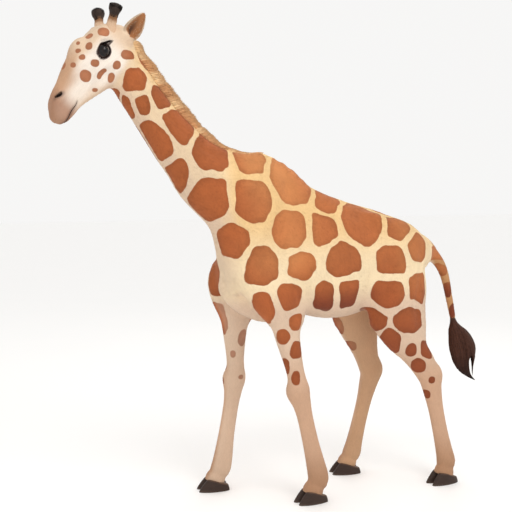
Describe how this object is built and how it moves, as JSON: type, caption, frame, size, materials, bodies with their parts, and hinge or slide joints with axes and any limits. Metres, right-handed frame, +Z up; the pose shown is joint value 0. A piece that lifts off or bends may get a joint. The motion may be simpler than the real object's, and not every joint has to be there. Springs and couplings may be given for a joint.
{
  "type": "giraffe figure",
  "caption": "Life-size still model of a young giraffe walking with its long neck stretched forward, patched coat, short horn cones, upright mane and tufted tail.",
  "frame": {"origin": "on the floor under the centre of the model's box", "axes": "+Z up, -Y the way the animal walks, +X its left side"},
  "size_m": [0.6294, 3.1778, 3.267],
  "materials": {
    "hide": "short flat hair, cream to golden ground with large rounded chestnut patches",
    "leg_hide": "short flat hair, pale tan, patches fading out at the knees and hocks",
    "mane_hair": "short upright bristle, rust brown with paler bands",
    "tail_hair": "long coarse black brown hair",
    "horn_hair": "haired horn cone, tan with a dark tufted end",
    "hoof": "hard dark horn, faint growth rings",
    "eye": "wet dark brown"
  },
  "bodies": {
    "root": {"head": "hide", "neck": "hide", "trunk": "hide", "tail": "hide", "ear_left": "hide", "ear_right": "hide", "foreleg_left": "leg_hide", "foreleg_right": "leg_hide", "hindleg_left": "leg_hide", "hindleg_right": "leg_hide", "mane": "mane_hair", "tail_tuft": "tail_hair", "ossicone_left": "horn_hair", "ossicone_right": "horn_hair", "eye_left": "eye", "eye_right": "eye", "hoof_fore_left_inner": "hoof", "hoof_fore_left_outer": "hoof", "hoof_fore_right_inner": "hoof", "hoof_fore_right_outer": "hoof", "hoof_hind_left_inner": "hoof", "hoof_hind_left_outer": "hoof", "hoof_hind_right_inner": "hoof", "hoof_hind_right_outer": "hoof"}
  },
  "joints": []
}
